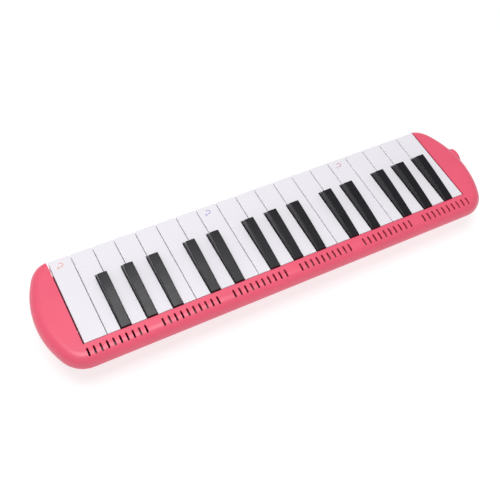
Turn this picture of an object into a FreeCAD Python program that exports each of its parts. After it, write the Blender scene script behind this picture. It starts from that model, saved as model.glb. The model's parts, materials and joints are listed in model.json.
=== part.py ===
import FreeCAD, Part
import math
import os

os.makedirs("parts", exist_ok=True)

# A 32-key melodica, F3 to C6, lying flat. Millimetres. +X is the player's right (treble),
# -Y is the player's side (key fronts), +Z is up. The origin is on the flat base it rests on,
# half way along the keyboard.
#
# Two measures are used for every section:
#   front  distance in front of the rail lip, towards the player
#   depth  distance below the top of the white keys

# Keyboard
PITCH = 19.3  # one white key
WHITE_NAMES = "f3 g3 a3 b3 c4 d4 e4 f4 g4 a4 b4 c5 d5 e5 f5 g5 a5 b5 c6".split()
SHARP_OFFSET = {"f": -3.3, "g": 0.0, "a": 3.3, "c": -1.5, "d": 1.5}
HALF_KEYBOARD = PITCH * len(WHITE_NAMES) / 2
KEY_REAR = 0.4
KEY_GAP = 0.5
KEY_WALL = 1.5
KEY_TOP_WALL = 2.0
KEY_SKIRT = 8.0
WHITE_FRONT = 84.0
WHITE_LIP_DEPTH = 10.0
WHITE_LIP_REAR = 80.3
WHITE_CORNER_R = 1.0
WHITE_EDGE_R = 0.6

BLACK_WIDTH = 8.7
BLACK_DRAFT = 0.3  # each side, over the full height
BLACK_SIDE_GAP = 0.5
BLACK_FRONT = 55.0
BLACK_FRONT_GAP = 1.1
BLACK_TOP_FRONT = 51.0
BLACK_HEIGHT_FRONT = 8.4
BLACK_HEIGHT_MIDDLE = 5.5
BLACK_HEIGHT_REAR = 1.3
BLACK_EDGE_R = 0.6

# Key action: each key swings on the shaft, and its tail lifts a valve pad
PIVOT_FRONT = 18.0
PIVOT_DEPTH = 11.5
SHAFT_R = 1.25
HUB_BORE_R = 1.3
RIB_BORE_R = 1.27
HUB_WIDTH = 5.0
HUB_R = 2.5
HUB_HALF_LENGTH = 4.0
TAIL_REAR = -6.6
TAIL_DEPTH = (9.6, 12.4)
WEB_WIDTH = 1.6
PAD_R = 3.8
PAD_FRONT = -2.8
PAD_BOTTOM = 15.9
SPRING_FRONT = 30.0
SPRING_R = 2.0
SPRING_WIRE_R = 0.28
SPRING_TURNS = 4
SPRING_BOSS_R = 2.9
SPRING_PIP_R = 1.5

# Felts that stop the keys
WHITE_FELT_FRONT = (68.0, 75.0)
WHITE_FELT_TOP = 12.9
BLACK_FELT_FRONT = (46.0, 52.0)
BLACK_FELT_DEPTH = (10.8, 12.8)

# Case
CASE_TOP = 0.5
CASE_WALL = 2.2
CASE_EDGE_R = 9.0
CASE_REAR = -16.2
CASE_FRONT = 86.0
SEAM = 11.4
BASE_DEPTH = 38.5  # from the key tops down to the surface it rests on
BAY_END_GAP = 1.0
LIP_WALL = 2.0
LIP_DEPTH = 4.5
END_START = -2.0
END_ARCS = ((23.8, 64.2), (88.0, 54.5), (22.8, 61.3))  # radius and turn, rear corner first

# Lower case. Below the seam its outline slides inwards, so the sides lean in to the base.
LEAN_END = 0.40  # how far each end slides, per mm below the seam
LEAN_REAR = 0.55  # how far the rear slides, per mm below the seam
FLANGE_RING = (0.9, 85.2)  # inset from the upper case's outline, and the straight front
FLANGE_BOTTOM = 13.4
HULL_INSET = 0.6
HULL_WALL = 2.0
HULL_CLEARANCE = 0.4  # between the walls and the pieces inside
FOOT_TOP = 36.5
FOOT_INSET = 2.6
HULL_FRONT = ((78.0, 19.0), (74.6, 36.5), (72.0, 38.5))  # front and depth, from the top down

# Sound slots in the rail
SLOT_GROUPS = 6
SLOTS_IN_GROUP = 10
SLOT_GROUP_PITCH = 63.5
SLOT_PITCH = 5.4
SLOT_WIDTH = 1.7
SLOT_FRONT = (-11.3, -3.9)

# Cell block, reeds and wind tray
BLOCK_HALF = HALF_KEYBOARD + 0.65
BLOCK_TOP = 16.0
BLOCK_BOTTOM = 25.0
CELL_WIDTH = 8.6
VALVE_HOLE_R = 2.8
RAIL_FRONT = (47.6, 56.0)
DECK_FRONT = 75.2
DECK_DEPTH = (15.0, 17.0)
REED_PLATE_BOTTOM = 26.0
GASKET_BOTTOM = 26.8
TRAY_BOTTOM = 35.0
TRAY_REAR = 2.6
TRAY_FRONT = 48.8
TRAY_WALL = 2.0
REED_TIP_FRONT = 6.0
REED_LENGTHS = (34.0, 15.0)  # lowest and highest note
REED_WIDTH = 2.2
REED_THICKNESS = 0.3

# Mouthpiece socket at the bass end, and drain valve at the treble end
SOCKET_FRONT = 48.1
SOCKET_DEPTH = 15.5
SOCKET_BORE_R = 5.2
SOCKET_R = 6.6
SOCKET_MOUTH = 29.4
BOSS_R = 11.1
BOSS_END = 30.0
BOSS_ROOT = 20.0
BOSS_EDGE_R = 0.8
INLET_OUT = 9.2
INLET_R = 4.0
INLET_TUBE_R = 5.4
INLET_TOP = 23.6
SEAL_TOP = 22.6
DRAIN_FRONT = 40.0
DRAIN_DEPTH = 30.0
DRAIN_BUTTON_R = 4.0
DRAIN_HOLE_R = 4.08
DRAIN_STEM_R = 1.2
DRAIN_GUIDE_R = 2.0
DRAIN_SHOULDER = HALF_KEYBOARD + 15.0
DRAIN_FACE = HALF_KEYBOARD + 20.6
DRAIN_SEAL_X = (BLOCK_HALF - 3.55, BLOCK_HALF - 2.05)
DRAIN_SEAL_R = 2.8
DRAIN_SPRING_R = 2.4
DRAIN_SPRING_WIRE_R = 0.3
DRAIN_SPRING_TURNS = 7
SPRING_END_GAP = 0.05
WIRE_SIDES = 8

# Screws: shank radius, and where each row is
CASE_SCREW_PLACES = ((5.6, 25.0), (7.0, 62.0))  # out from the keyboard's end, front
CASE_SCREW_R = 1.5
CASE_SCREW_SEAT = 30.0
CASE_SCREW_TIP = 6.0
CASE_POST_R = 4.6
CASE_PILOT_POST_R = 3.5
CASE_RECESS_R = 3.3
BLOCK_SCREW_XS = (-150.0, -90.0, -30.0, 30.0, 90.0, 150.0)
BLOCK_SCREW_FRONT = 62.0
BLOCK_SCREW_R = 1.2
BLOCK_SCREW_TIP = 28.0
BLOCK_POST_R = 3.5
FRONT_SCREW_XS = [-168.0 + 48.0 * n for n in range(8)]
FRONT_SCREW_FRONT = 52.0
FRONT_SCREW_R = 1.2
FRONT_SCREW_TIP = 19.0
REAR_SCREW_AFTER = ("b3", "e4", "b4", "e5", "b5")  # the wall above each of these white keys
REAR_SCREW_FRONT = -0.4
REAR_SCREW_R = 0.9
PLATE_SCREW_AFTER = ("g3", "d4", "g4", "d5", "g5")
PLATE_SCREW_FRONTS = (12.0, 43.0)
PLATE_SCREW_R = 0.8
SHORT_SCREW_TIP = 20.5

LIP_Y = 35.0  # where the rail lip is in the part's frame
FAR_X = HALF_KEYBOARD + 60  # beyond the ends and the front of the whole instrument
FAR_FRONT = 130.0


def point(x, front, depth):
    return FreeCAD.Vector(x, LIP_Y - front, BASE_DEPTH - depth)


def slab(xs, fronts, depths):
    """A box between two x values, two fronts and two depths."""
    x0, x1 = sorted(xs)
    f0, f1 = sorted(fronts)
    d0, d1 = sorted(depths)
    return Part.makeBox(x1 - x0, f1 - f0, d1 - d0, point(x0, f1, d1))


def plan_prism(outline, depths):
    """A flat shape given as (x, front) corners, made solid between two depths."""
    top, bottom = sorted(depths)
    corners = [point(x, front, bottom) for x, front in outline]
    face = Part.Face(Part.makePolygon(corners + corners[:1]))
    return face.extrude(FreeCAD.Vector(0, 0, bottom - top))


def side_prism(outline, xs):
    """A side profile given as (front, depth) corners, made solid between two x values."""
    x0, x1 = sorted(xs)
    corners = [point(x0, front, depth) for front, depth in outline]
    face = Part.Face(Part.makePolygon(corners + corners[:1]))
    return face.extrude(FreeCAD.Vector(x1 - x0, 0, 0))


def rod_x(r, xs, front, depth):
    x0, x1 = sorted(xs)
    return Part.makeCylinder(r, x1 - x0, point(x0, front, depth), FreeCAD.Vector(1, 0, 0))


def rod_z(r, x, front, depths):
    top, bottom = sorted(depths)
    return Part.makeCylinder(r, bottom - top, point(x, front, bottom))


def fuse_all(shapes):
    return shapes[0].multiFuse(shapes[1:]).removeSplitter()


def cut_all(shape, tools):
    return shape.cut(Part.makeCompound(tools))


def save(name, shape):
    if len(name) >= 60:
        raise ValueError(name)
    for solid in shape.Solids:
        if not solid.isValid() or solid.Volume <= 0:
            raise ValueError("bad solid in " + name)
    shape.exportStep("parts/" + name + ".step")
    print(name, len(shape.Solids), round(shape.Volume / 1000, 2), "cm3")


# ---------------------------------------------------------------- keyboard layout


def has_sharp(name):
    return name != WHITE_NAMES[-1] and name[0] in SHARP_OFFSET


def sharp_x(index):
    """The middle of the black key that follows a white key."""
    name = WHITE_NAMES[index]
    return -HALF_KEYBOARD + (index + 1) * PITCH + SHARP_OFFSET[name[0]]


def white_limits(index):
    """Left, right, and the narrower left and right beside the black keys."""
    start = -HALF_KEYBOARD + index * PITCH
    left = start + KEY_GAP / 2
    right = start + PITCH - KEY_GAP / 2
    tail_left, tail_right = left, right
    reach = BLACK_WIDTH / 2 + BLACK_SIDE_GAP
    if index > 0 and has_sharp(WHITE_NAMES[index - 1]):
        tail_left = sharp_x(index - 1) + reach
    if has_sharp(WHITE_NAMES[index]):
        tail_right = sharp_x(index) - reach
    return left, right, tail_left, tail_right


def key_list():
    """Every key from low to high: node name, colour, index, and the middle of its tail."""
    keys = []
    for index, name in enumerate(WHITE_NAMES):
        limits = white_limits(index)
        keys.append(("white_key_" + name, "white", index, (limits[2] + limits[3]) / 2))
        if has_sharp(name):
            sharp_name = "black_key_" + name[0] + "s" + name[1]
            keys.append((sharp_name, "black", index, sharp_x(index)))
    return keys


KEYS = key_list()
TAIL_XS = [key[3] for key in KEYS]


# ---------------------------------------------------------------- keys


def white_outline(index, inset):
    left, right, tail_left, tail_right = white_limits(index)
    rear = KEY_REAR + inset
    front = WHITE_FRONT - inset
    notch = BLACK_FRONT + BLACK_FRONT_GAP + inset
    corners = [(tail_left + inset, rear), (tail_right - inset, rear)]
    if tail_right < right:
        corners += [(tail_right - inset, notch), (right - inset, notch)]
    corners += [(right - inset, front), (left + inset, front)]
    if tail_left > left:
        corners += [(left + inset, notch), (tail_left + inset, notch)]
    return corners


def is_upright(edge):
    a, b = edge.Vertexes[0].Point, edge.Vertexes[-1].Point
    return math.hypot(a.x - b.x, a.y - b.y) < 1e-6


def lies_at_depth(shape, depth):
    box = shape.BoundBox
    z = BASE_DEPTH - depth
    return abs(box.ZMin - z) < 1e-6 and abs(box.ZMax - z) < 1e-6


def key_lever(x, web_front):
    """Web, hub and tail of a key, without the shaft's bore."""
    half = HUB_WIDTH / 2
    web = slab((x - WEB_WIDTH / 2, x + WEB_WIDTH / 2), (KEY_REAR + 1, web_front), (1.2, KEY_SKIRT))
    hub_fronts = (PIVOT_FRONT - HUB_HALF_LENGTH, PIVOT_FRONT + HUB_HALF_LENGTH)
    hub = slab((x - half, x + half), hub_fronts, (1.2, PIVOT_DEPTH + HUB_R))
    tail = slab((x - half, x + half), (TAIL_REAR, PIVOT_FRONT), TAIL_DEPTH)
    boss = rod_z(SPRING_BOSS_R, x, SPRING_FRONT, (1.2, KEY_SKIRT))
    return [web, hub, tail, boss]


def with_pad(key, x):
    """The key with its shaft bore, and the valve pad glued under its tail as a second solid."""
    bored = key.cut(rod_x(HUB_BORE_R, (x - HUB_WIDTH, x + HUB_WIDTH), PIVOT_FRONT, PIVOT_DEPTH))
    pad = rod_z(PAD_R, x, PAD_FRONT, (TAIL_DEPTH[1], PAD_BOTTOM))
    return Part.makeCompound(bored.Solids + [pad])


def white_key(index, x):
    body = plan_prism(white_outline(index, 0), (0, WHITE_LIP_DEPTH))
    front_y = LIP_Y - WHITE_FRONT
    corners = [e for e in body.Edges if is_upright(e) and abs(e.CenterOfMass.y - front_y) < 1e-6]
    body = body.makeFillet(WHITE_CORNER_R, corners)
    body = body.makeFillet(WHITE_EDGE_R, [e for e in body.Edges if lies_at_depth(e, 0)])
    left, right = white_limits(index)[:2]
    body = body.cut(
        slab((left - 1, right + 1), (0, WHITE_LIP_REAR), (KEY_SKIRT, WHITE_LIP_DEPTH + 1))
    )
    pocket = plan_prism(white_outline(index, KEY_WALL), (KEY_TOP_WALL, WHITE_LIP_DEPTH + 1))
    return with_pad(fuse_all([body.cut(pocket)] + key_lever(x, BLACK_FRONT)), x)


def black_side_face(x):
    """The side view of a black key: low at the rail, rising in a slight arch to its front."""
    rear_low = point(x, KEY_REAR, KEY_SKIRT)
    rear_top = point(x, KEY_REAR, -BLACK_HEIGHT_REAR)
    middle = point(x, (KEY_REAR + BLACK_TOP_FRONT) / 2, -BLACK_HEIGHT_MIDDLE)
    front_top = point(x, BLACK_TOP_FRONT, -BLACK_HEIGHT_FRONT)
    front_base = point(x, BLACK_FRONT, 0)
    front_low = point(x, BLACK_FRONT, KEY_SKIRT)
    edges = [
        Part.makeLine(rear_low, rear_top),
        Part.Arc(rear_top, middle, front_top).toShape(),
        Part.makeLine(front_top, front_base),
        Part.makeLine(front_base, front_low),
        Part.makeLine(front_low, rear_low),
    ]
    return Part.Face(Part.Wire(edges))


def black_draft_cutter(x, side):
    """The wedge that leans one side wall of a black key inwards above the white keys."""
    above = BLACK_HEIGHT_FRONT + 2
    lean = BLACK_DRAFT * above / BLACK_HEIGHT_FRONT
    base_x = x + side * BLACK_WIDTH / 2
    outer_x = base_x + side * 2
    corners = [
        point(base_x, 0, 0),
        point(base_x - side * lean, 0, -above),
        point(outer_x, 0, -above),
        point(outer_x, 0, 0),
    ]
    face = Part.Face(Part.makePolygon(corners + corners[:1]))
    return face.extrude(FreeCAD.Vector(0, -BLACK_FRONT - 1, 0))


def black_key(x):
    half = BLACK_WIDTH / 2
    body = black_side_face(x - half).extrude(FreeCAD.Vector(BLACK_WIDTH, 0, 0))
    body = cut_all(body, [black_draft_cutter(x, -1), black_draft_cutter(x, 1)])
    top_z = BASE_DEPTH + BLACK_HEIGHT_REAR - 0.01
    upper = [e for e in body.Edges if e.BoundBox.ZMin > top_z]
    slopes = [
        e
        for e in body.Edges
        if e.BoundBox.ZMax > top_z
        and abs(e.BoundBox.ZMin - BASE_DEPTH) < 0.01
        and e.BoundBox.YMax < LIP_Y - BLACK_TOP_FRONT + 0.01
    ]
    body = body.makeFillet(BLACK_EDGE_R, upper + slopes)
    pocket_half = half - KEY_WALL
    pocket = side_prism(
        [
            (KEY_REAR + KEY_WALL, KEY_SKIRT + 1),
            (KEY_REAR + KEY_WALL, 0.6),
            (BLACK_TOP_FRONT - 3, KEY_TOP_WALL - BLACK_HEIGHT_FRONT),
            (BLACK_FRONT - KEY_WALL, 0.6),
            (BLACK_FRONT - KEY_WALL, KEY_SKIRT + 1),
        ],
        (x - pocket_half, x + pocket_half),
    )
    lever = key_lever(x, BLACK_FRONT - 1)
    return with_pad(fuse_all([body.cut(pocket)] + lever), x)


# ---------------------------------------------------------------- case outline


def end_points(inset, front, lean):
    """Arc ends and middles around one end, from the straight rear to the straight front.

    Each point is (out, front), with out measured from the keyboard's end. With front None the
    straight front is where the last arc meets it smoothly. Lean is how far below the seam the
    outline has slid inwards.
    """
    rear = CASE_REAR + LEAN_REAR * lean
    centre = [END_START - LEAN_END * lean, rear + END_ARCS[0][0]]
    heading = 0.0
    points = [(centre[0], rear + inset)]
    for number, (radius, turn) in enumerate(END_ARCS):
        r = radius - inset
        start = heading
        heading += math.radians(turn)
        if number == len(END_ARCS) - 1:
            reach = 1.0 if front is None else (front - centre[1]) / r
            heading = math.pi - math.acos(reach)
        for angle in ((start + heading) / 2, heading):
            points.append((centre[0] + r * math.sin(angle), centre[1] - r * math.cos(angle)))
        if number < len(END_ARCS) - 1:
            step = radius - END_ARCS[number + 1][0]
            centre[0] += step * math.sin(heading)
            centre[1] -= step * math.cos(heading)
    return points


def outline_wire(inset, front, depth, lean=0.0):
    """The case's plan outline, moved inwards by inset, with its straight front at front."""
    ends = end_points(inset, front, lean)
    right = [point(HALF_KEYBOARD + out, f, depth) for out, f in ends]
    left = [point(-HALF_KEYBOARD - out, f, depth) for out, f in ends]
    edges = []
    for n in range(0, 6, 2):
        edges.append(Part.Arc(right[n], right[n + 1], right[n + 2]).toShape())
    edges.append(Part.makeLine(right[6], left[6]))
    for n in range(6, 0, -2):
        edges.append(Part.Arc(left[n], left[n - 1], left[n - 2]).toShape())
    edges.append(Part.makeLine(left[0], right[0]))
    return Part.Wire(edges)


def outline_prism(inset, front, depths):
    top, bottom = sorted(depths)
    face = Part.Face(outline_wire(inset, front, bottom))
    return face.extrude(FreeCAD.Vector(0, 0, bottom - top))


def dome(inset, top, bottom, edge_r):
    """The full rounded top of the case, before the front is cut straight."""
    solid = outline_prism(inset, None, (top, bottom))
    return solid.makeFillet(edge_r, [e for e in solid.Edges if lies_at_depth(e, top)])


# ---------------------------------------------------------------- upper case


def slot_cutters():
    cutters = []
    first = -(SLOT_GROUP_PITCH * (SLOT_GROUPS - 1) + SLOT_PITCH * (SLOTS_IN_GROUP - 1)) / 2
    half = SLOT_WIDTH / 2
    for group in range(SLOT_GROUPS):
        for n in range(SLOTS_IN_GROUP):
            x = first + group * SLOT_GROUP_PITCH + n * SLOT_PITCH
            rear, front = SLOT_FRONT
            middle = slab((x - half, x + half), (rear + half, front - half), (-1, 9))
            ends = [rod_z(half, x, f, (-1, 9)) for f in (rear + half, front - half)]
            cutters.append(middle.multiFuse(ends))
    return cutters


def boss_solid():
    """The round swelling around the mouthpiece socket, both halves."""
    xs = (-HALF_KEYBOARD - BOSS_END, -HALF_KEYBOARD - BOSS_ROOT)
    boss = rod_x(BOSS_R, xs, SOCKET_FRONT, SOCKET_DEPTH)
    rim = [e for e in boss.Edges if e.BoundBox.XMax < xs[0] + 0.01]
    return boss.makeFillet(BOSS_EDGE_R, rim)


def boss_bore():
    xs = (-HALF_KEYBOARD - BOSS_END - 1, -HALF_KEYBOARD - BOSS_ROOT + 1)
    return rod_x(SOCKET_R + 0.1, xs, SOCKET_FRONT, SOCKET_DEPTH)


def everywhere(depths):
    """A layer wider than the whole instrument."""
    return slab((-FAR_X, FAR_X), (-60, FAR_FRONT), depths)


def case_screw_points():
    return [
        (side * (HALF_KEYBOARD + out), front)
        for side in (-1, 1)
        for out, front in CASE_SCREW_PLACES
    ]


def upper_case_walls():
    """The walls that hang from the top around the key bay, and the posts for the case screws."""
    bay_half = HALF_KEYBOARD + BAY_END_GAP
    walls = [slab((-bay_half, bay_half), (-LIP_WALL, 0), (0, LIP_DEPTH))]
    for side in (-1, 1):
        inner_x = side * bay_half
        bay_end = (inner_x, inner_x + side * CASE_WALL)
        walls.append(slab(bay_end, (-LIP_WALL, CASE_FRONT), (0, SEAM)))
        cap_front = (CASE_FRONT - CASE_WALL, CASE_FRONT)
        walls.append(slab((inner_x, side * FAR_X), cap_front, (0, SEAM)))
    posts = [rod_z(CASE_PILOT_POST_R, x, front, (0, SEAM)) for x, front in case_screw_points()]
    return walls + posts


def upper_case():
    outer = dome(0, CASE_TOP, SEAM, CASE_EDGE_R)
    outer = outer.cut(slab((-FAR_X, FAR_X), (CASE_FRONT, FAR_FRONT), (-5, SEAM + 5)))
    inner = dome(CASE_WALL, CASE_TOP + CASE_WALL, SEAM + 1, CASE_EDGE_R - CASE_WALL)
    bay_half = HALF_KEYBOARD + BAY_END_GAP
    bay = slab((-bay_half, bay_half), (0, FAR_FRONT), (-5, SEAM + 5))
    shell = outer.cut(inner).cut(bay)
    boss = boss_solid().common(everywhere((-5, SEAM)))
    walls = [wall.common(outer) for wall in upper_case_walls()]
    shell = fuse_all([shell, boss] + walls)
    pilots = [
        rod_z(CASE_SCREW_R, x, front, (CASE_SCREW_TIP - 1, SEAM + 1))
        for x, front in case_screw_points()
    ]
    return cut_all(shell, slot_cutters() + pilots + [boss_bore()])


# ---------------------------------------------------------------- lower case


def leaning_ring(inset, depth):
    return outline_wire(inset, None, depth, depth - SEAM)


def beyond_hull_front(back):
    """Everything in front of the hull's front wall, moved back by a wall's thickness or none."""
    profile = [(front - back, depth) for front, depth in HULL_FRONT]
    top = (profile[0][0], SEAM - 2)
    bottom = (profile[-1][0], BASE_DEPTH + 1)
    corners = [top] + profile + [bottom, (FAR_FRONT, BASE_DEPTH + 1), (FAR_FRONT, SEAM - 2)]
    return side_prism(corners, (-FAR_X, FAR_X))


def hull_outer():
    sides = [leaning_ring(HULL_INSET, SEAM), leaning_ring(HULL_INSET, FOOT_TOP)]
    foot = [leaning_ring(HULL_INSET, FOOT_TOP), leaning_ring(FOOT_INSET, BASE_DEPTH)]
    hull = Part.makeLoft(sides, True, True).fuse(Part.makeLoft(foot, True, True))
    return hull.cut(beyond_hull_front(0))


def hull_inner():
    inset = HULL_INSET + HULL_WALL
    rings = [leaning_ring(inset, SEAM - 1), leaning_ring(inset, BASE_DEPTH - CASE_WALL)]
    return Part.makeLoft(rings, True, True).cut(beyond_hull_front(HULL_WALL))


def within_hull(shape):
    """The shape with its end corners trimmed back from the leaning walls."""
    inset = HULL_INSET + HULL_WALL + HULL_CLEARANCE
    rings = [leaning_ring(inset, 0), leaning_ring(inset, BASE_DEPTH)]
    return shape.common(Part.makeLoft(rings, True, True))


def seam_flange():
    """The rim the upper case sits on; it is left open under the key fronts."""
    flange = outline_prism(*FLANGE_RING, (SEAM, FLANGE_BOTTOM))
    bay_half = HALF_KEYBOARD + BAY_END_GAP
    fronts = (HULL_FRONT[0][0], CASE_FRONT + 1)
    return flange.cut(slab((-bay_half, bay_half), fronts, (SEAM - 1, FLANGE_BOTTOM + 1)))


def key_front_opening():
    """The wall under the key fronts is lower, so that the keys can go down."""
    bay_half = HALF_KEYBOARD + BAY_END_GAP
    fronts = (BLOCK_SCREW_FRONT, CASE_FRONT + 1)
    return slab((-bay_half, bay_half), fronts, (SEAM - 1, FLANGE_BOTTOM))


def lower_case():
    shell = hull_outer().fuse(seam_flange()).cut(hull_inner())
    posts = [
        rod_z(CASE_POST_R, x, front, (SEAM, BASE_DEPTH - 1)) for x, front in case_screw_points()
    ]
    posts += [
        rod_z(BLOCK_POST_R, x, BLOCK_SCREW_FRONT, (DECK_DEPTH[1], BASE_DEPTH - 1))
        for x in BLOCK_SCREW_XS
    ]
    boss = boss_solid().common(everywhere((SEAM, BASE_DEPTH)))
    solid = fuse_all([shell, boss] + posts)
    cutters = [boss_bore(), key_front_opening()]
    for x, front in case_screw_points():
        cutters.append(rod_z(CASE_RECESS_R, x, front, (CASE_SCREW_SEAT, BASE_DEPTH + 1)))
        cutters.append(rod_z(CASE_SCREW_R + 0.2, x, front, (SEAM - 1, BASE_DEPTH)))
    cutters += [
        rod_z(BLOCK_SCREW_R, x, BLOCK_SCREW_FRONT, (DECK_DEPTH[1] - 1, BLOCK_SCREW_TIP + 1))
        for x in BLOCK_SCREW_XS
    ]
    wall_xs = (DRAIN_SHOULDER, DRAIN_FACE + 5)
    cutters.append(rod_x(DRAIN_HOLE_R, wall_xs, DRAIN_FRONT, DRAIN_DEPTH))
    return cut_all(solid, cutters)


# ---------------------------------------------------------------- cell block

BLOCK_PROFILE = [(-8.4, 16.0), (-8.4, 18.8), (-4.6, 25.0), (47.6, 25.0), (47.6, 16.0)]
CELL_PROFILE = [(-6.8, 18.0), (-6.8, 18.9), (-3.0, 26.0), (46.0, 26.0), (46.0, 18.0)]


def gap_xs():
    """The middles of the walls between neighbouring cells."""
    return [(a + b) / 2 for a, b in zip(TAIL_XS, TAIL_XS[1:])]


def gap_after(name):
    """The wall between a white key's cell and the next one up."""
    names = [key[0] for key in KEYS]
    return gap_xs()[names.index("white_key_" + name)]


REAR_SCREW_XS = [gap_after(name) for name in REAR_SCREW_AFTER]
PLATE_SCREW_XS = [gap_after(name) for name in PLATE_SCREW_AFTER]
INLET_X = -HALF_KEYBOARD - INLET_OUT
INLET_OUTLINE = ((-HALF_KEYBOARD - 15.2, -BLOCK_HALF), (42.0, 54.6))


def shaft_ribs():
    ribs = []
    fronts = (PIVOT_FRONT - 3, PIVOT_FRONT + 3)
    end_x = HALF_KEYBOARD - 1.25
    for x in [-end_x] + gap_xs() + [end_x]:
        ribs.append(slab((x - 0.8, x + 0.8), fronts, (8.8, BLOCK_TOP)))
    return ribs


def short_screw_holes():
    """The holes of the rear tray screws and of the reed plate screws."""
    depths = (SHORT_SCREW_TIP - 0.5, 30)
    holes = [rod_z(REAR_SCREW_R, x, REAR_SCREW_FRONT, depths) for x in REAR_SCREW_XS]
    for front in PLATE_SCREW_FRONTS:
        holes += [rod_z(PLATE_SCREW_R, x, front, depths) for x in PLATE_SCREW_XS]
    return holes


def cell_block():
    body = side_prism(BLOCK_PROFILE, (-BLOCK_HALF, BLOCK_HALF))
    bar = slab((-BLOCK_HALF, BLOCK_HALF), RAIL_FRONT, (BLOCK_TOP - 1, REED_PLATE_BOTTOM))
    deck = slab((-BLOCK_HALF + 1, BLOCK_HALF - 1), (RAIL_FRONT[1], DECK_FRONT), DECK_DEPTH)
    stop_rail = slab(
        (-BLOCK_HALF + 3, BLOCK_HALF - 3), BLACK_FELT_FRONT, (BLACK_FELT_DEPTH[1], BLOCK_TOP)
    )
    inlet = slab(INLET_OUTLINE[0], INLET_OUTLINE[1], (INLET_TOP, REED_PLATE_BOTTOM))
    pips = [
        rod_z(SPRING_PIP_R, x, SPRING_FRONT, (BLOCK_TOP - 1.2, BLOCK_TOP)) for x in TAIL_XS
    ]
    solid = fuse_all([body, bar, deck, stop_rail, inlet] + shaft_ribs() + pips)
    cutters = [rod_x(RIB_BORE_R, (-200, 200), PIVOT_FRONT, PIVOT_DEPTH)]
    half = CELL_WIDTH / 2
    for x in TAIL_XS:
        cutters.append(side_prism(CELL_PROFILE, (x - half, x + half)))
        cutters.append(rod_z(VALVE_HOLE_R, x, PAD_FRONT, (BLOCK_TOP - 1, 19)))
    cutters.append(rod_z(INLET_R, INLET_X, SOCKET_FRONT, (INLET_TOP - 1, 30)))
    cutters += [
        rod_z(BLOCK_SCREW_R + 0.3, x, BLOCK_SCREW_FRONT, (10, 30)) for x in BLOCK_SCREW_XS
    ]
    cutters += [
        rod_z(FRONT_SCREW_R, x, FRONT_SCREW_FRONT, (FRONT_SCREW_TIP - 0.5, 30))
        for x in FRONT_SCREW_XS
    ]
    return cut_all(solid, cutters + short_screw_holes())


# ---------------------------------------------------------------- reeds


def reed_length(number):
    """Reeds get shorter by the same share from each note to the next."""
    longest, shortest = REED_LENGTHS
    return longest * (shortest / longest) ** (number / (len(KEYS) - 1))


def reed_plate(first, last):
    """One brass plate under the cells from key number first up to last."""
    edges = [-BLOCK_HALF] + gap_xs() + [BLOCK_HALF]
    left, right = edges[first], edges[last + 1]
    left += 0.05 if first > 0 else 0
    right -= 0.05 if last < len(KEYS) - 1 else 0
    plate = slab((left, right), (-4.4, RAIL_FRONT[0] - 0.1), (BLOCK_BOTTOM, REED_PLATE_BOTTOM))
    cutters = []
    half = REED_WIDTH / 2 + 0.1
    for number in range(first, last + 1):
        x = TAIL_XS[number]
        fronts = (REED_TIP_FRONT - 0.2, REED_TIP_FRONT + reed_length(number))
        cutters.append(slab((x - half, x + half), fronts, (20, 30)))
    return cut_all(plate, cutters + short_screw_holes())


def reed(number):
    """A brass tongue with its wider root and the head of its rivet."""
    x = TAIL_XS[number]
    root_front = REED_TIP_FRONT + reed_length(number)
    half = REED_WIDTH / 2
    depths = (REED_PLATE_BOTTOM, REED_PLATE_BOTTOM + REED_THICKNESS)
    tongue = slab((x - half, x + half), (REED_TIP_FRONT, root_front + 1), depths)
    root = slab((x - 1.8, x + 1.8), (root_front + 0.5, root_front + 4.5), depths)
    rivet = rod_z(0.7, x, root_front + 2.5, (REED_PLATE_BOTTOM, REED_PLATE_BOTTOM + 0.6))
    return fuse_all([tongue, root, rivet])


# ---------------------------------------------------------------- wind tray


def tray_outline(inset):
    """The air chamber's plan: a long box with a short arm under the mouthpiece's elbow."""
    inner_x = BLOCK_HALF - inset
    arm_x = -INLET_OUTLINE[0][0] - inset * 0.75
    arm_rear, arm_front = INLET_OUTLINE[1]
    front = TRAY_FRONT - inset
    return [
        (inner_x, TRAY_REAR + inset),
        (inner_x, front),
        (-inner_x + inset, front),
        (-inner_x + inset, arm_front - inset),
        (-arm_x, arm_front - inset),
        (-arm_x, arm_rear + inset),
        (-inner_x, arm_rear + inset),
        (-inner_x, TRAY_REAR + inset),
    ]


def tray_flange(depths):
    """The flat rim all round: wide at the rear and front, where the screws go."""
    rear_strip = slab((-BLOCK_HALF, BLOCK_HALF), (-2.4, TRAY_REAR + TRAY_WALL), depths)
    front_strip = slab(
        (-BLOCK_HALF, BLOCK_HALF), (TRAY_FRONT - TRAY_WALL, RAIL_FRONT[1]), depths
    )
    return [rear_strip, front_strip, plan_prism(tray_outline(0), depths)]


def tray_screw_holes(depths):
    clear = 0.1
    holes = [
        rod_z(FRONT_SCREW_R + clear, x, FRONT_SCREW_FRONT, depths) for x in FRONT_SCREW_XS
    ]
    return holes + [
        rod_z(REAR_SCREW_R + clear, x, REAR_SCREW_FRONT, depths) for x in REAR_SCREW_XS
    ]


def tray_gasket():
    depths = (REED_PLATE_BOTTOM, GASKET_BOTTOM)
    ring = fuse_all(tray_flange(depths)).cut(plan_prism(tray_outline(TRAY_WALL), (20, 40)))
    return cut_all(ring, tray_screw_holes((20, 40)))


def wind_tray():
    walls = plan_prism(tray_outline(0), (GASKET_BOTTOM, TRAY_BOTTOM))
    solid = fuse_all([walls] + tray_flange((GASKET_BOTTOM, GASKET_BOTTOM + TRAY_WALL)))
    cutters = [plan_prism(tray_outline(TRAY_WALL), (20, TRAY_BOTTOM - TRAY_WALL))]
    cutters += tray_screw_holes((20, 40))
    end_wall = (BLOCK_HALF - 5, BLOCK_HALF + 5)
    cutters.append(rod_x(DRAIN_GUIDE_R, end_wall, DRAIN_FRONT, DRAIN_DEPTH))
    return cut_all(solid, cutters)


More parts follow.
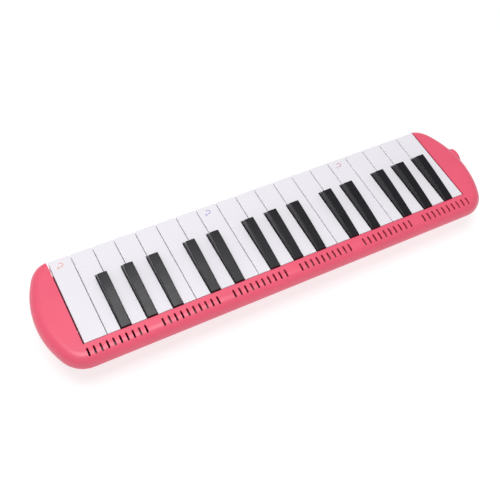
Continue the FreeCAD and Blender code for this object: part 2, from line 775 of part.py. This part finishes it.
# ---------------------------------------------------------------- screws, shaft, springs


def screw(x, front, shank_r, tip, seat):
    """An upright cross-head screw. Its head lies beyond seat, on the side away from its tip."""
    away = 1 if seat > tip else -1
    head_r = shank_r * 1.8
    head_end = seat + away * shank_r * 1.1
    shank = rod_z(shank_r, x, front, (tip, seat + away * 0.5))
    head = rod_z(head_r, x, front, (seat, head_end))
    arm = head_r * 0.6
    blade = 0.3
    cross_depths = (head_end - away * 0.6, head_end + away)
    cross = [
        slab((x - arm, x + arm), (front - blade, front + blade), cross_depths),
        slab((x - blade, x + blade), (front - arm, front + arm), cross_depths),
    ]
    return cut_all(fuse_all([shank, head]), cross)


def case_screws():
    return [
        screw(x, front, CASE_SCREW_R, CASE_SCREW_TIP, CASE_SCREW_SEAT)
        for x, front in case_screw_points()
    ]


def block_screws():
    return [
        screw(x, BLOCK_SCREW_FRONT, BLOCK_SCREW_R, BLOCK_SCREW_TIP, DECK_DEPTH[0])
        for x in BLOCK_SCREW_XS
    ]


def tray_screws():
    seat = GASKET_BOTTOM + TRAY_WALL
    front_row = [
        screw(x, FRONT_SCREW_FRONT, FRONT_SCREW_R, FRONT_SCREW_TIP, seat) for x in FRONT_SCREW_XS
    ]
    rear_row = [
        screw(x, REAR_SCREW_FRONT, REAR_SCREW_R, SHORT_SCREW_TIP, seat) for x in REAR_SCREW_XS
    ]
    return front_row + rear_row


def reed_plate_screws():
    return [
        screw(x, front, PLATE_SCREW_R, SHORT_SCREW_TIP, REED_PLATE_BOTTOM)
        for front in PLATE_SCREW_FRONTS
        for x in PLATE_SCREW_XS
    ]


def shaft_clips():
    clips = []
    for side in (-1, 1):
        xs = (side * (HALF_KEYBOARD - 0.4), side * (HALF_KEYBOARD + 0.1))
        ring = rod_x(2.2, xs, PIVOT_FRONT, PIVOT_DEPTH)
        clips.append(ring.cut(rod_x(SHAFT_R + 0.01, (-200, 200), PIVOT_FRONT, PIVOT_DEPTH)))
    return clips


def coil(length, turns, radius, wire_r):
    """A compression spring of eight-sided wire, standing on the origin."""
    height = length - 2 * wire_r
    helix = Part.makeHelix(height / turns, height, radius)
    corners = []
    for n in range(WIRE_SIDES):
        angle = 2 * math.pi * (n + 0.5) / WIRE_SIDES
        across, along = wire_r * math.cos(angle), wire_r * math.sin(angle)
        corners.append(FreeCAD.Vector(radius + across, 0, along))
    section = Part.makePolygon(corners + corners[:1])
    spring = Part.Wire(helix).makePipeShell([section], True, True)
    spring.translate(FreeCAD.Vector(0, 0, wire_r))
    return Part.Solid(spring)


def key_springs():
    length = BLOCK_TOP - KEY_SKIRT - 2 * SPRING_END_GAP
    spring = coil(length, SPRING_TURNS, SPRING_R, SPRING_WIRE_R)
    springs = []
    for x in TAIL_XS:
        copy = spring.copy()
        copy.translate(point(x, SPRING_FRONT, BLOCK_TOP - SPRING_END_GAP))
        springs.append(copy)
    return springs


# ---------------------------------------------------------------- socket and drain valve


def mouthpiece_socket():
    """A moulded elbow: the bore faces out of the bass end and turns down into the inlet."""
    mouth_x = -HALF_KEYBOARD - SOCKET_MOUTH
    bend = point(INLET_X, SOCKET_FRONT, SOCKET_DEPTH)
    body = fuse_all(
        [
            rod_x(SOCKET_R, (mouth_x, INLET_X), SOCKET_FRONT, SOCKET_DEPTH),
            rod_z(INLET_TUBE_R, INLET_X, SOCKET_FRONT, (SOCKET_DEPTH, SEAL_TOP)),
            Part.makeSphere(SOCKET_R, bend),
        ]
    )
    bore = rod_x(SOCKET_BORE_R, (mouth_x - 1, INLET_X), SOCKET_FRONT, SOCKET_DEPTH)
    down = rod_z(INLET_R, INLET_X, SOCKET_FRONT, (SOCKET_DEPTH, 30))
    return cut_all(body, [bore, down, Part.makeSphere(SOCKET_BORE_R, bend)])


def socket_seal():
    ring = rod_z(INLET_TUBE_R, INLET_X, SOCKET_FRONT, (SEAL_TOP, INLET_TOP))
    return ring.cut(rod_z(INLET_R, INLET_X, SOCKET_FRONT, (0, 40)))


def drain_button():
    """The button with its stem, and the knob on the stem's inner end that holds the seal."""
    inner_end = DRAIN_SEAL_X[0] - 1.0
    stem = rod_x(DRAIN_STEM_R, (inner_end, DRAIN_FACE - 3), DRAIN_FRONT, DRAIN_DEPTH)
    cap = rod_x(DRAIN_BUTTON_R, (DRAIN_SHOULDER, DRAIN_FACE), DRAIN_FRONT, DRAIN_DEPTH)
    rim = [e for e in cap.Edges if e.BoundBox.XMin > DRAIN_FACE - 0.01]
    cap = cap.makeFillet(0.8, rim)
    knob = rod_x(1.9, (inner_end, DRAIN_SEAL_X[0]), DRAIN_FRONT, DRAIN_DEPTH)
    return fuse_all([stem, cap, knob])


def drain_seal():
    disc = rod_x(DRAIN_SEAL_R, DRAIN_SEAL_X, DRAIN_FRONT, DRAIN_DEPTH)
    return disc.cut(rod_x(DRAIN_STEM_R, (0, FAR_X), DRAIN_FRONT, DRAIN_DEPTH))


def drain_spring():
    length = DRAIN_SHOULDER - BLOCK_HALF - 2 * SPRING_END_GAP
    spring = coil(length, DRAIN_SPRING_TURNS, DRAIN_SPRING_R, DRAIN_SPRING_WIRE_R)
    spring.rotate(FreeCAD.Vector(0, 0, 0), FreeCAD.Vector(0, 1, 0), 90)
    spring.translate(point(BLOCK_HALF + SPRING_END_GAP, DRAIN_FRONT, DRAIN_DEPTH))
    return spring


def save_keys():
    for name, colour, index, x in KEYS:
        save(name, white_key(index, x) if colour == "white" else black_key(x))


save_keys()
save("upper_case", upper_case())
save("lower_case", lower_case())
save("cell_block", within_hull(cell_block()))
save("wind_tray", within_hull(wind_tray()))
save("tray_gasket", within_hull(tray_gasket()))
LAST_LOW = [key[0] for key in KEYS].index("white_key_b4")
save("reed_plate_low", within_hull(reed_plate(0, LAST_LOW)))
save("reed_plate_high", within_hull(reed_plate(LAST_LOW + 1, len(KEYS) - 1)))
save("reeds_low", Part.makeCompound([reed(n) for n in range(LAST_LOW + 1)]))
save("reeds_high", Part.makeCompound([reed(n) for n in range(LAST_LOW + 1, len(KEYS))]))
save("reed_plate_screws", Part.makeCompound(reed_plate_screws()))
save("tray_screws", Part.makeCompound(tray_screws()))
save("block_screws", Part.makeCompound(block_screws()))
save("case_screws", Part.makeCompound(case_screws()))
SHAFT_XS = (-HALF_KEYBOARD - 0.3, HALF_KEYBOARD + 0.3)
save("pivot_shaft", rod_x(SHAFT_R, SHAFT_XS, PIVOT_FRONT, PIVOT_DEPTH))
save("shaft_clips", Part.makeCompound(shaft_clips()))
save("key_springs", Part.makeCompound(key_springs()))
FELT_XS = (-HALF_KEYBOARD + 2, HALF_KEYBOARD - 2)
save("white_stop_felt", slab(FELT_XS, WHITE_FELT_FRONT, (WHITE_FELT_TOP, DECK_DEPTH[0])))
save("black_stop_felt", slab(FELT_XS, BLACK_FELT_FRONT, BLACK_FELT_DEPTH))
save("mouthpiece_socket", mouthpiece_socket())
save("socket_seal", socket_seal())
save("drain_button", drain_button())
save("drain_seal", drain_seal())
save("drain_spring", drain_spring())
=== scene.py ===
import json
import math

import bpy
from mathutils import Matrix, Vector


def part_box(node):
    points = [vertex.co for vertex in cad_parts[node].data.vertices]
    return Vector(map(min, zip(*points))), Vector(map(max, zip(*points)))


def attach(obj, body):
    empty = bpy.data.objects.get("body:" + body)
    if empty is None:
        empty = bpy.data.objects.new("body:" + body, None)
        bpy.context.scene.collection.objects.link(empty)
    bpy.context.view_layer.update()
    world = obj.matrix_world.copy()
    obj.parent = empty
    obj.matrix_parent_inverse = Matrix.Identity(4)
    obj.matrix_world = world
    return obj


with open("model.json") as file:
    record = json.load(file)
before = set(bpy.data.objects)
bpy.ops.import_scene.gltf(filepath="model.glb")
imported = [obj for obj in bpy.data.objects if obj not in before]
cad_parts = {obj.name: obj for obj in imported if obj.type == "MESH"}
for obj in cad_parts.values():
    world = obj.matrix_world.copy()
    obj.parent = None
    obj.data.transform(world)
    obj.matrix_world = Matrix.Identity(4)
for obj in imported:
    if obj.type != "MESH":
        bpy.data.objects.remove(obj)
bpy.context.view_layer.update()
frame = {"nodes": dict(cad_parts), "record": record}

NODES = frame["nodes"]
KEY_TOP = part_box("white_key_c4")[1][2]
KEY_FRONT_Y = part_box("white_key_c4")[0][1]

# ---------------------------------------------------------------- node helpers


class Nodes:
    """A small builder for one material's node tree."""

    def __init__(self, name):
        self.material = bpy.data.materials.new(name)
        self.material.use_nodes = True
        self.tree = self.material.node_tree
        self.tree.nodes.clear()
        self.output = self.tree.nodes.new("ShaderNodeOutputMaterial")
        self.shader = self.tree.nodes.new("ShaderNodeBsdfPrincipled")
        self.link(self.shader.outputs["BSDF"], self.output.inputs["Surface"])
        self.coords = self.tree.nodes.new("ShaderNodeTexCoord").outputs["Object"]

    def link(self, source, target):
        self.tree.links.new(source, target)

    def stretched(self, scale):
        mapping = self.tree.nodes.new("ShaderNodeMapping")
        mapping.inputs["Scale"].default_value = scale
        self.link(self.coords, mapping.inputs["Vector"])
        return mapping.outputs["Vector"]

    def noise(self, scale, detail=3.0, rough=0.5, vector=None, distortion=0.0):
        node = self.tree.nodes.new("ShaderNodeTexNoise")
        node.inputs["Scale"].default_value = scale
        node.inputs["Detail"].default_value = detail
        node.inputs["Roughness"].default_value = rough
        node.inputs["Distortion"].default_value = distortion
        self.link(vector or self.coords, node.inputs["Vector"])
        return node.outputs["Fac"]

    def ramp(self, value, stops):
        node = self.tree.nodes.new("ShaderNodeValToRGB")
        ramp = node.color_ramp
        while len(ramp.elements) < len(stops):
            ramp.elements.new(0.5)
        for element, (place, colour) in zip(ramp.elements, stops):
            element.position = place
            element.color = (*colour, 1.0)
        self.link(value, node.inputs["Fac"])
        return node.outputs["Color"]

    def spread(self, value, low, high, start=0.3, end=0.7):
        node = self.tree.nodes.new("ShaderNodeMapRange")
        node.inputs["From Min"].default_value = start
        node.inputs["From Max"].default_value = end
        node.inputs["To Min"].default_value = low
        node.inputs["To Max"].default_value = high
        self.link(value, node.inputs["Value"])
        return node.outputs["Result"]

    def add(self, a, b):
        node = self.tree.nodes.new("ShaderNodeMath")
        node.operation = "ADD"
        self.link(a, node.inputs[0])
        self.link(b, node.inputs[1])
        return node.outputs[0]

    def bump(self, height, strength, distance, normal=None):
        node = self.tree.nodes.new("ShaderNodeBump")
        node.inputs["Strength"].default_value = strength
        node.inputs["Distance"].default_value = distance
        self.link(height, node.inputs["Height"])
        if normal:
            self.link(normal, node.inputs["Normal"])
        return node.outputs["Normal"]

    def finish(self, colour, roughness, normal=None, **settings):
        self.link(colour, self.shader.inputs["Base Color"])
        self.link(roughness, self.shader.inputs["Roughness"])
        if normal:
            self.link(normal, self.shader.inputs["Normal"])
        for name, value in settings.items():
            self.shader.inputs[name.replace("_", " ")].default_value = value
        return self.material


def shade(colour, factor):
    return tuple(min(1.0, c * factor) for c in colour)


# ---------------------------------------------------------------- materials

CASE_PINK = (0.88, 0.112, 0.188)
SOCKET_PINK = (0.84, 0.100, 0.165)
KEY_WHITE = (0.855, 0.825, 0.875)
KEY_BLACK = (0.0062, 0.0050, 0.0082)
INNER_GREY = (0.045, 0.045, 0.048)


def moulded_plastic(name, colour, gloss, grain, variation=0.04, ior=1.49):
    """Injection moulded plastic: faint flow mottling, fine grain, hairline handling marks."""
    n = Nodes(name)
    mottle = n.noise(22.0, detail=4.0, rough=0.55, distortion=0.4)
    base = n.ramp(
        mottle,
        [(0.25, shade(colour, 1 - variation)), (0.75, shade(colour, 1 + variation))],
    )
    smudge = n.noise(75.0, detail=5.0, rough=0.6, distortion=1.2)
    hairs = n.noise(1.0, detail=2.0, vector=n.stretched((90.0, 1500.0, 900.0)))
    smudged = n.spread(smudge, gloss * 0.88, gloss * 1.18)
    worn = n.spread(hairs, 0.0, 0.025, start=0.62, end=0.8)
    rough = n.add(smudged, worn)
    fine = n.noise(2600.0, detail=2.0)
    slow = n.noise(45.0, detail=2.0, rough=0.4)
    normal = n.bump(fine, strength=grain, distance=0.00002)
    normal = n.bump(slow, strength=0.12, distance=0.0004, normal=normal)
    return n.finish(base, rough, normal, IOR=ior)


def brass_sheet():
    """Rolled brass with fine lines along the sheet and a slight tarnish."""
    n = Nodes("brass_sheet")
    tarnish = n.noise(60.0, detail=6.0, rough=0.65, distortion=0.8)
    base = n.ramp(tarnish, [(0.3, (0.62, 0.42, 0.16)), (0.7, (0.80, 0.60, 0.28))])
    lines = n.noise(1.0, rough=0.6, vector=n.stretched((40.0, 4000.0, 4000.0)))
    rough = n.spread(lines, 0.22, 0.42)
    normal = n.bump(lines, strength=0.25, distance=0.00002)
    return n.finish(base, rough, normal, Metallic=1.0)


def turned_steel():
    """Bright zinc-plated steel with fine drawing lines."""
    n = Nodes("turned_steel")
    lines = n.noise(1.0, rough=0.6, vector=n.stretched((60.0, 5000.0, 5000.0)))
    patches = n.noise(150.0, detail=4.0, rough=0.6)
    base = n.ramp(patches, [(0.3, (0.48, 0.49, 0.51)), (0.7, (0.66, 0.67, 0.68))])
    rough = n.spread(lines, 0.24, 0.44)
    normal = n.bump(lines, strength=0.2, distance=0.00001)
    return n.finish(base, rough, normal, Metallic=1.0)


def soft_rubber():
    """Dull black rubber with a fine specked skin."""
    n = Nodes("soft_rubber")
    specks = n.noise(900.0, detail=4.0, rough=0.6)
    base = n.ramp(specks, [(0.35, (0.020, 0.019, 0.019)), (0.7, (0.045, 0.043, 0.042))])
    rough = n.spread(n.noise(120.0), 0.62, 0.82)
    normal = n.bump(specks, strength=0.3, distance=0.00005)
    return n.finish(base, rough, normal)


def pressed_felt():
    """Red felt: short tangled fibres over a cloudy dye."""
    n = Nodes("pressed_felt")
    dye = n.noise(130.0, detail=4.0, rough=0.6)
    base = n.ramp(dye, [(0.3, (0.20, 0.012, 0.018)), (0.7, (0.34, 0.025, 0.035))])
    stretch = n.stretched((700.0, 2100.0, 2100.0))
    fibres = n.noise(1.0, detail=6.0, rough=0.7, vector=stretch, distortion=1.5)
    rough = n.spread(fibres, 0.82, 0.98)
    normal = n.bump(fibres, strength=0.8, distance=0.0003)
    return n.finish(base, rough, normal, Sheen_Weight=0.35)


def printed_ink(name, colour):
    """Thin screen-printed ink, a little uneven where it lies on the key."""
    n = Nodes(name)
    thin = n.noise(1500.0, detail=4.0, rough=0.6)
    base = n.ramp(thin, [(0.3, shade(colour, 0.86)), (0.7, shade(colour, 1.15))])
    rough = n.spread(n.noise(600.0, detail=2.0), 0.35, 0.5)
    normal = n.bump(thin, strength=0.2, distance=0.00001)
    return n.finish(base, rough, normal)


MATERIALS = {
    "case_pink": moulded_plastic("case_pink", CASE_PINK, gloss=0.34, grain=0.10),
    "white_plastic": moulded_plastic(
        "white_key_plastic", KEY_WHITE, gloss=0.24, grain=0.05, variation=0.012
    ),
    "black_plastic": moulded_plastic(
        "black_key_plastic", KEY_BLACK, gloss=0.30, grain=0.3, variation=0.15, ior=1.40
    ),
    "inner_plastic": moulded_plastic(
        "inner_plastic", INNER_GREY, gloss=0.55, grain=0.4, variation=0.15
    ),
    "socket_plastic": moulded_plastic("socket_plastic", SOCKET_PINK, gloss=0.30, grain=0.10),
    "reed_brass": brass_sheet(),
    "steel": turned_steel(),
    "rubber": soft_rubber(),
    "felt": pressed_felt(),
}


def dress_frame():
    """Gives every CAD node the material of its slot."""
    for part in frame["record"]["subparts"]:
        obj = NODES[part["node"]]
        material = MATERIALS[part["material_slot"]]
        if not obj.data.materials:
            obj.data.materials.append(material)
        for slot in obj.material_slots:
            slot.material = material


dress_frame()

# ---------------------------------------------------------------- printed note marks

MARK_THICKNESS = 0.00003
MARK_LIFT = 0.00001
MARK_STROKE = 0.0006
MARK_SETBACK = 0.0075          # from the key's front edge to the middle of the mark
MARK_SHIFT = 0.0012            # from the key's middle towards the treble

# The letter c, and the number at its upper right, both about the middle of the mark.
LETTER_CENTRE = (-0.0005, -0.0007)
LETTER_RADIUS = 0.0020
LETTER_ARC = (48, 312)
NUMBER_X = 0.0021
NUMBER_Y = 0.0017
ONE_HALF_HEIGHT = 0.0011
TWO_BOW_RADIUS = 0.0005
TWO_BOW_ARC = (160, -60)
TWO_FOOT_DROP = 0.0009
TWO_FOOT_LEFT = 0.0005
TWO_FOOT_RIGHT = 0.0007

OCTAVE_MARKS = (
    ("c4", 1, (0.62, 0.20, 0.32)),
    ("c5", 2, (0.25, 0.28, 0.62)),
    ("c6", 2, (0.85, 0.30, 0.18)),
)


def ribbon_mesh(name, strokes, width, place):
    """Flat printed strokes: each stroke is a list of points in the key's plane, in metres."""
    verts, faces = [], []
    for stroke in strokes:
        points = [Vector(p) for p in stroke]
        base = len(verts)
        for i, p in enumerate(points):
            ahead = points[min(i + 1, len(points) - 1)] - points[max(i - 1, 0)]
            side = Vector((-ahead.y, ahead.x)).normalized() * (width / 2)
            for z in (0.0, MARK_THICKNESS):
                verts.append((*(place(p + side)), KEY_TOP + MARK_LIFT + z))
                verts.append((*(place(p - side)), KEY_TOP + MARK_LIFT + z))
        for i in range(len(points) - 1):
            a, b = base + 4 * i, base + 4 * (i + 1)
            faces += [
                (a + 2, a + 3, b + 3, b + 2),
                (a, b, b + 1, a + 1),
                (a, a + 2, b + 2, b),
                (a + 1, b + 1, b + 3, a + 3),
            ]
        last = base + 4 * (len(points) - 1)
        faces += [(base, base + 1, base + 3, base + 2), (last, last + 2, last + 3, last + 1)]
    mesh = bpy.data.meshes.new(name)
    mesh.from_pydata(verts, [], faces)
    mesh.update()
    obj = bpy.data.objects.new(name, mesh)
    bpy.context.scene.collection.objects.link(obj)
    return obj


def arc_points(centre, radius, start, end, steps=24):
    """Points along an arc, from one angle to another, in degrees."""
    angles = [math.radians(start + (end - start) * i / steps) for i in range(steps + 1)]
    return [(centre[0] + radius * math.cos(a), centre[1] + radius * math.sin(a)) for a in angles]


def number_stroke(number):
    """The small number beside the letter: 1 is a bar, 2 a bow with a foot."""
    if number == 1:
        return [(NUMBER_X, NUMBER_Y - ONE_HALF_HEIGHT), (NUMBER_X, NUMBER_Y + ONE_HALF_HEIGHT)]
    bow_centre = (NUMBER_X, NUMBER_Y + TWO_BOW_RADIUS)
    foot_y = NUMBER_Y - TWO_FOOT_DROP
    foot = [(NUMBER_X - TWO_FOOT_LEFT, foot_y), (NUMBER_X + TWO_FOOT_RIGHT, foot_y)]
    return arc_points(bow_centre, TWO_BOW_RADIUS, *TWO_BOW_ARC, steps=10) + foot


def octave_mark(key, number, ink):
    """A small letter c with its octave's number, read from the player's side."""
    lo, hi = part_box("white_key_" + key)
    mid_x = (lo[0] + hi[0]) / 2 + MARK_SHIFT
    mid_y = KEY_FRONT_Y + MARK_SETBACK

    def place(p):
        return (mid_x + p.x, mid_y + p.y)

    letter = arc_points(LETTER_CENTRE, LETTER_RADIUS, *LETTER_ARC)
    obj = ribbon_mesh("note_mark_" + key, [letter, number_stroke(number)], MARK_STROKE, place)
    obj.data.materials.append(printed_ink("ink_" + key, ink))
    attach(obj, "key_" + key)


for mark in OCTAVE_MARKS:
    octave_mark(*mark)

# ---------------------------------------------------------------- floor and light

FLOOR_SIZE = 6.0
FLOOR_TONES = [(0.3, (0.35, 0.36, 0.36)), (0.7, (0.37, 0.38, 0.38))]
FLOOR_GLOW = 2.0
WORLD_COLOUR = (0.97, 0.98, 1.0, 1.0)
WORLD_STRENGTH = 0.36
OVERHEAD_PLACE = (0.15, -0.04, 1.3)
OVERHEAD_TARGET = (0.15, -0.04, 0.0)
OVERHEAD_SIZE = (0.9, 0.8)
OVERHEAD_POWER = 12.5
FILL_PLACE = (0.9, 1.2, 1.1)
FILL_TARGET = (0.0, 0.0, 0.0)
FILL_SIZE = (1.0, 0.8)
FILL_POWER = 1.0


def plain_floor():
    """A pale paper floor with a glow of its own, so that it stays near white."""
    mesh = bpy.data.meshes.new("floor")
    half = FLOOR_SIZE / 2
    corners = [(-half, -half, 0), (half, -half, 0), (half, half, 0), (-half, half, 0)]
    mesh.from_pydata(corners, [], [(0, 1, 2, 3)])
    floor = bpy.data.objects.new("floor", mesh)
    bpy.context.scene.collection.objects.link(floor)
    n = Nodes("floor_paper")
    tone = n.ramp(n.noise(3.0), FLOOR_TONES)
    n.link(tone, n.shader.inputs["Emission Color"])
    rough = n.spread(n.noise(40.0), 0.8, 0.95)
    floor.data.materials.append(n.finish(tone, rough, Emission_Strength=FLOOR_GLOW))


def softbox(name, place, target, size, power):
    light = bpy.data.lights.new(name, "AREA")
    light.shape = "RECTANGLE"
    light.size, light.size_y = size
    light.energy = power
    obj = bpy.data.objects.new(name, light)
    obj.location = place
    obj.rotation_mode = "QUATERNION"
    obj.rotation_quaternion = (Vector(target) - Vector(place)).to_track_quat("-Z", "Y")
    bpy.context.scene.collection.objects.link(obj)


def studio():
    """Even light from the room, a large softbox overhead and a weak one behind."""
    world = bpy.data.worlds.new("studio")
    bpy.context.scene.world = world
    world.use_nodes = True
    background = world.node_tree.nodes["Background"]
    background.inputs["Color"].default_value = WORLD_COLOUR
    background.inputs["Strength"].default_value = WORLD_STRENGTH
    softbox("overhead", OVERHEAD_PLACE, OVERHEAD_TARGET, OVERHEAD_SIZE, OVERHEAD_POWER)
    softbox("fill_rear", FILL_PLACE, FILL_TARGET, FILL_SIZE, FILL_POWER)
    bpy.context.scene.view_settings.view_transform = "Standard"
    bpy.context.scene.view_settings.look = "None"
    bpy.context.scene.view_settings.exposure = 0.0


# ---------------------------------------------------------------- camera

CAMERA_PLACE = Vector((0.25245, 0.35372, 0.61100))
CAMERA_LENS = 59.57            # mm, on a sensor 36 mm wide
SENSOR_WIDTH = 36.0
CAMERA_TURN = 33.513
CAMERA_RISE = 54.202
CAMERA_ROLL = 7.311
CAMERA_NEAR = 0.01
CAMERA_FAR = 20.0


def camera():
    """Looks down from behind the treble end, rolled a little."""
    turn, rise, roll = (math.radians(a) for a in (CAMERA_TURN, CAMERA_RISE, CAMERA_ROLL))
    back = Vector((math.sin(turn) * math.cos(rise), math.cos(turn) * math.cos(rise), math.sin(rise)))
    right = Vector((0, 0, 1)).cross(back).normalized()
    up = back.cross(right)
    rolled_right = right * math.cos(roll) + up * math.sin(roll)
    rolled_up = up * math.cos(roll) - right * math.sin(roll)
    data = bpy.data.cameras.new("camera")
    data.lens = CAMERA_LENS
    data.sensor_width = SENSOR_WIDTH
    data.clip_start = CAMERA_NEAR
    data.clip_end = CAMERA_FAR
    obj = bpy.data.objects.new("camera", data)
    axes = Matrix((rolled_right, rolled_up, back)).transposed()
    obj.matrix_world = Matrix.Translation(CAMERA_PLACE) @ axes.to_4x4()
    bpy.context.scene.collection.objects.link(obj)
    bpy.context.scene.camera = obj


plain_floor()
studio()
camera()
